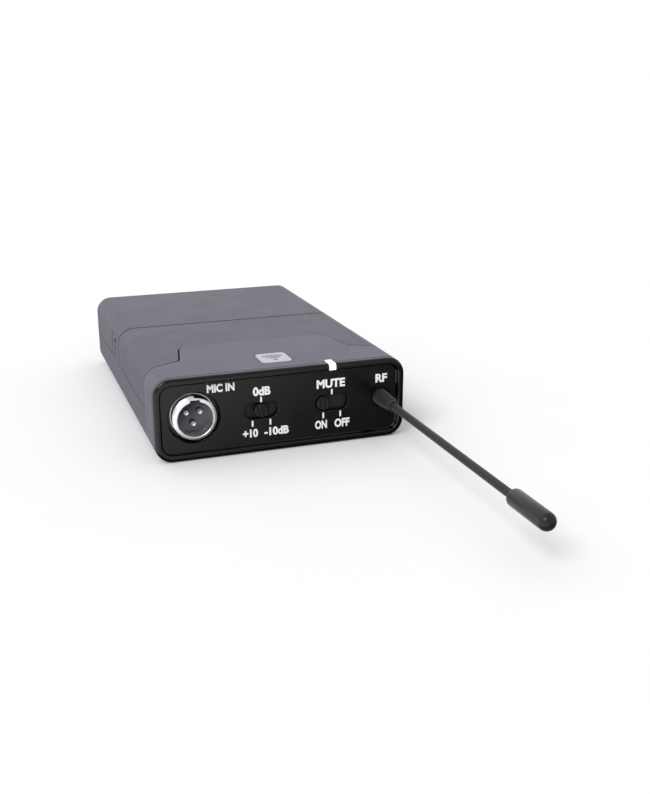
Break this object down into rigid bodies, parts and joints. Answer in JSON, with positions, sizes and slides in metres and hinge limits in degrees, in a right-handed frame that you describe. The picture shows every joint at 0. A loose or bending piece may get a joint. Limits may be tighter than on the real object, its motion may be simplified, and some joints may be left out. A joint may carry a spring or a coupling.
{
  "type": "wireless bodypack transmitter",
  "caption": "Belt-worn wireless microphone transmitter with a mini three-pin socket, slide switches, whip antenna, hinged battery door and folding belt clip.",
  "frame": {"origin": "middle of the underside of the whole transmitter, halfway between the back end of the case and the tip of the antenna; it lies on the underside of the front collar, on the case's centre line", "axes": "+Z from the underside to the front cover, -Y the way the control panel faces and the antenna points, +X to the right as the panel is seen"},
  "size_m": [0.065, 0.1772, 0.0211],
  "materials": {
    "case_grey": "satin metallic grey painted moulding",
    "collar_grey": "satin metallic grey painted moulding, a shade lighter",
    "panel_black": "piano black gloss moulding",
    "badge_grey": "pale grey satin",
    "dark_plastic": "fine-textured dark moulding",
    "black_rubber": "smooth matt rubber",
    "nickel": "bright nickel plate",
    "steel": "bright spring steel",
    "tinned_steel": "tin plate",
    "guide_white": "milky clear moulding",
    "board_green": "green solder mask on glass laminate",
    "cell_can": "printed plastic sleeve on a steel can; aluminium's density is close to a whole AA cell's",
    "wire_red": "pvc insulation",
    "wire_black": "pvc insulation"
  },
  "bodies": {
    "case": {"front_collar": "collar_grey", "middle_cover": "case_grey", "lower_shell": "case_grey", "badge_plate": "badge_grey", "case_screw_1": "steel", "case_screw_2": "steel", "case_screw_3": "steel", "case_screw_4": "steel", "door_hinge_pin": "steel", "control_panel": "panel_black", "light_guide": "guide_white", "status_lamp": "guide_white", "lamp_card": "board_green", "gain_switch": "tinned_steel", "power_switch": "tinned_steel", "socket_barrel": "nickel", "socket_insert": "dark_plastic", "socket_housing": "dark_plastic", "socket_pin_1": "nickel", "socket_pin_2": "nickel", "socket_pin_3": "nickel", "antenna_boot": "black_rubber", "antenna_whip": "black_rubber", "antenna_tip": "black_rubber", "antenna_contact": "steel", "main_board": "board_green", "rf_shield_can": "tinned_steel", "audio_chip": "dark_plastic", "crystal": "tinned_steel", "reservoir_capacitor": "dark_plastic", "board_screw_left": "steel", "board_screw_right": "steel", "battery_tray": "dark_plastic", "battery_front": "cell_can", "battery_back": "cell_can", "battery_spring_front": "steel", "battery_spring_back": "steel", "contact_bridge": "nickel", "contact_positive": "nickel", "contact_negative": "nickel", "lead_positive": "wire_red", "lead_negative": "wire_black", "clip_pin": "steel", "clip_spring": "steel"},
    "door": {"battery_door": "case_grey"},
    "latch_left": {"door_latch_left": "case_grey"},
    "latch_right": {"door_latch_right": "case_grey"},
    "gain_slider": {"gain_knob": "dark_plastic"},
    "power_slider": {"power_knob": "dark_plastic"},
    "clip": {"belt_clip": "steel"}
  },
  "joints": [
    {"name": "battery_door_hinge", "type": "hinge", "parent": "case", "child": "door", "pos_m": [0, 0.0873, 0.01055], "axis": [-1, 0, 0], "range_deg": [0, 85]},
    {"name": "latch_left_press", "type": "hinge", "parent": "door", "child": "latch_left", "pos_m": [-0.0316, 0.04955, 0.0179], "axis": [0, -1, 0], "range_deg": [0, 4], "stiffness_Nm_per_rad": 0.3},
    {"name": "latch_right_press", "type": "hinge", "parent": "door", "child": "latch_right", "pos_m": [0.0316, 0.04955, 0.0179], "axis": [0, 1, 0], "range_deg": [0, 4], "stiffness_Nm_per_rad": 0.3},
    {"name": "gain_slide", "type": "slide", "parent": "case", "child": "gain_slider", "axis": [1, 0, 0], "range_m": [-0.0023, 0.0023]},
    {"name": "power_slide", "type": "slide", "parent": "case", "child": "power_slider", "axis": [1, 0, 0], "range_m": [0, 0.0046]},
    {"name": "belt_clip_hinge", "type": "hinge", "parent": "case", "child": "clip", "pos_m": [0, 0.0331, 0.00145], "axis": [-1, 0, 0], "range_deg": [0, 20], "stiffness_Nm_per_rad": 0.2, "springref_deg": -5.73}
  ]
}
